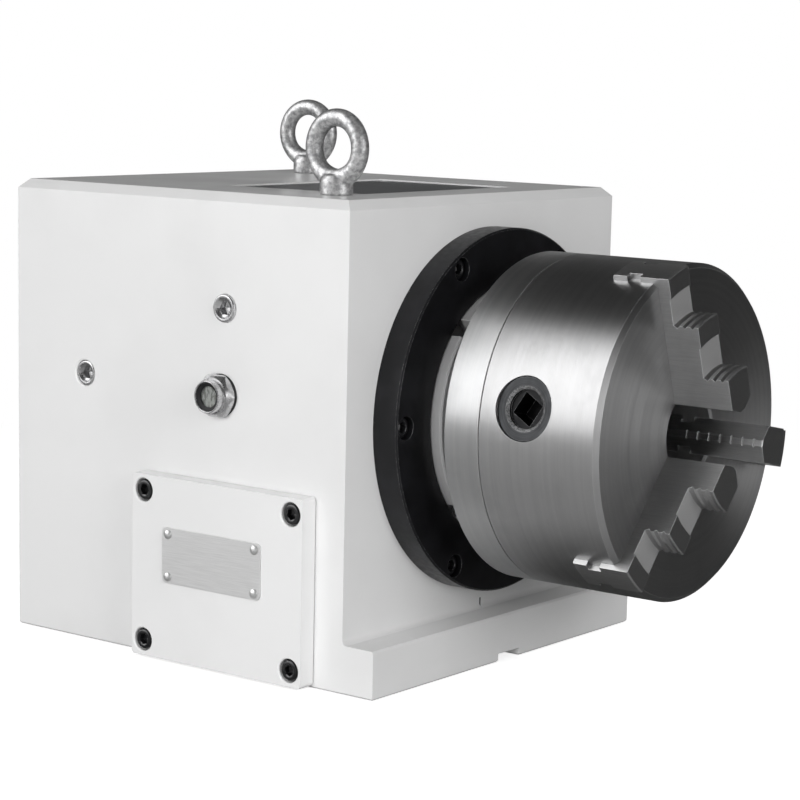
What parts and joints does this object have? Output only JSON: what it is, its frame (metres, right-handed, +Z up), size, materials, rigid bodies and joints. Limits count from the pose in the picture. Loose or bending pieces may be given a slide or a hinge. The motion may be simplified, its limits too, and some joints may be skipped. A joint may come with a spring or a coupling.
{
  "type": "rotary indexer",
  "caption": "Horizontal rotary indexer: a cast body with a worm-driven hollow spindle that carries a self-centring jaw chuck.",
  "frame": {"origin": "on the base's underside, in the middle plane, below the front face of the cast body", "axes": "+X along the spindle towards the chuck, +Z up, -Y towards the side with the sight glass and nameplate"},
  "size_m": [0.3675, 0.2323, 0.2716],
  "materials": {
    "body_paint": "smooth satin paint on a casting",
    "cover_paint": "smooth satin paint",
    "black_steel": "turned and blackened",
    "black_screw": "blackened",
    "zinc_steel": "bright zinc plate",
    "chuck_steel": "ground",
    "turned_steel": "fine turned",
    "jaw_steel": "ground and hardened",
    "bearing_steel": "ground and polished",
    "bronze": "cut bronze",
    "dark_panel": "smooth dark coating",
    "seal_rubber": "matte",
    "plate_metal": "brushed sheet",
    "sight_window": "clear with oil behind",
    "motor_paint": "satin"
  },
  "bodies": {
    "base": {"housing": "body_paint", "top_cover": "dark_panel", "top_cover_screws": "zinc_steel", "side_cover": "cover_paint", "side_cover_screws": "black_screw", "nameplate": "plate_metal", "nameplate_rivets": "zinc_steel", "filler_plug": "zinc_steel", "rear_port_plug": "zinc_steel", "sight_glass_body": "zinc_steel", "sight_glass_window": "sight_window", "sight_glass_washer": "seal_rubber", "eyebolt_front": "zinc_steel", "eyebolt_rear": "zinc_steel", "front_ring": "black_steel", "front_ring_screws": "black_screw", "spindle_seal": "seal_rubber", "front_bearing_outer": "bearing_steel", "rear_bearing_outer": "bearing_steel", "main_bearing_balls": "bearing_steel", "rear_spindle_cap": "black_steel", "rear_spindle_cap_screws": "black_screw", "rear_cover": "cover_paint", "rear_cover_screws": "black_screw", "lead_socket": "black_steel", "motor": "motor_paint", "motor_screws": "black_screw", "worm_bearing_outers": "bearing_steel", "worm_bearing_balls": "bearing_steel"},
    "spindle_set": {"spindle": "turned_steel", "front_bearing_inner": "bearing_steel", "rear_bearing_inner": "bearing_steel", "rotary_table": "turned_steel", "rotary_table_screws": "black_screw", "worm_wheel": "bronze", "worm_wheel_screws": "black_screw", "spindle_locknut": "black_steel", "chuck_adapter": "turned_steel", "adapter_screws": "black_screw", "chuck_screws": "black_screw", "chuck_body": "chuck_steel", "scroll_cover": "turned_steel", "pinion_pins": "turned_steel"},
    "scroll": {"scroll_plate": "turned_steel"},
    "pinion_1_body": {"pinion_1": "black_steel"},
    "pinion_2_body": {"pinion_2": "black_steel"},
    "pinion_3_body": {"pinion_3": "black_steel"},
    "jaw_1_body": {"jaw_1": "jaw_steel"},
    "jaw_2_body": {"jaw_2": "jaw_steel"},
    "jaw_3_body": {"jaw_3": "jaw_steel"},
    "worm_set": {"worm_shaft": "turned_steel", "worm_gear": "turned_steel", "worm_bearing_inners": "bearing_steel", "worm_locknut": "black_steel"},
    "motor_rotor": {"motor_shaft": "turned_steel", "motor_gear": "turned_steel"}
  },
  "joints": [
    {"name": "spindle_spin", "type": "hinge", "parent": "base", "child": "spindle_set", "pos_m": [0, 0, 0.125], "axis": [1, 0, 0], "continuous": true},
    {"name": "scroll_turn", "type": "hinge", "parent": "spindle_set", "child": "scroll", "pos_m": [0.088, 0, 0.125], "axis": [1, 0, 0], "range_deg": [-205, 694]},
    {"name": "pinion_1_turn", "type": "hinge", "parent": "spindle_set", "child": "pinion_1_body", "pos_m": [0.077, 0.04611, 0.17767], "axis": [0, 0.6587, 0.7524], "range_deg": [-5414, 1600]},
    {"name": "pinion_2_turn", "type": "hinge", "parent": "spindle_set", "child": "pinion_2_body", "pos_m": [0.077, -0.06867, 0.1386], "axis": [0, -0.981, 0.1942], "range_deg": [-5414, 1600]},
    {"name": "pinion_3_turn", "type": "hinge", "parent": "spindle_set", "child": "pinion_3_body", "pos_m": [0.077, 0.02256, 0.05874], "axis": [0, 0.3223, -0.9466], "range_deg": [-5414, 1600]},
    {"name": "jaw_1_slide", "type": "slide", "parent": "spindle_set", "child": "jaw_1_body", "axis": [0, -0.3223, 0.9466], "range_m": [-0.0135, 0.004]},
    {"name": "jaw_2_slide", "type": "slide", "parent": "spindle_set", "child": "jaw_2_body", "axis": [0, -0.6587, -0.7524], "range_m": [-0.0135, 0.004]},
    {"name": "jaw_3_slide", "type": "slide", "parent": "spindle_set", "child": "jaw_3_body", "axis": [0, 0.981, -0.1942], "range_m": [-0.0135, 0.004]},
    {"name": "worm_spin", "type": "hinge", "parent": "base", "child": "worm_set", "pos_m": [-0.0715, 0, 0.0465], "axis": [0, 1, 0], "continuous": true},
    {"name": "motor_spin", "type": "hinge", "parent": "base", "child": "motor_rotor", "pos_m": [-0.12764, 0, 0.043], "axis": [0, 1, 0], "continuous": true}
  ],
  "couplings": [
    {"joint": "worm_spin", "follows": "spindle_spin", "ratio": 60},
    {"joint": "motor_spin", "follows": "spindle_spin", "ratio": -75},
    {"joint": "pinion_1_turn", "follows": "scroll_turn", "ratio": -7.8},
    {"joint": "pinion_2_turn", "follows": "scroll_turn", "ratio": -7.8},
    {"joint": "pinion_3_turn", "follows": "scroll_turn", "ratio": -7.8},
    {"joint": "jaw_1_slide", "follows": "scroll_turn", "m_per_rad": -0.0011141},
    {"joint": "jaw_2_slide", "follows": "scroll_turn", "m_per_rad": -0.0011141},
    {"joint": "jaw_3_slide", "follows": "scroll_turn", "m_per_rad": -0.0011141}
  ]
}
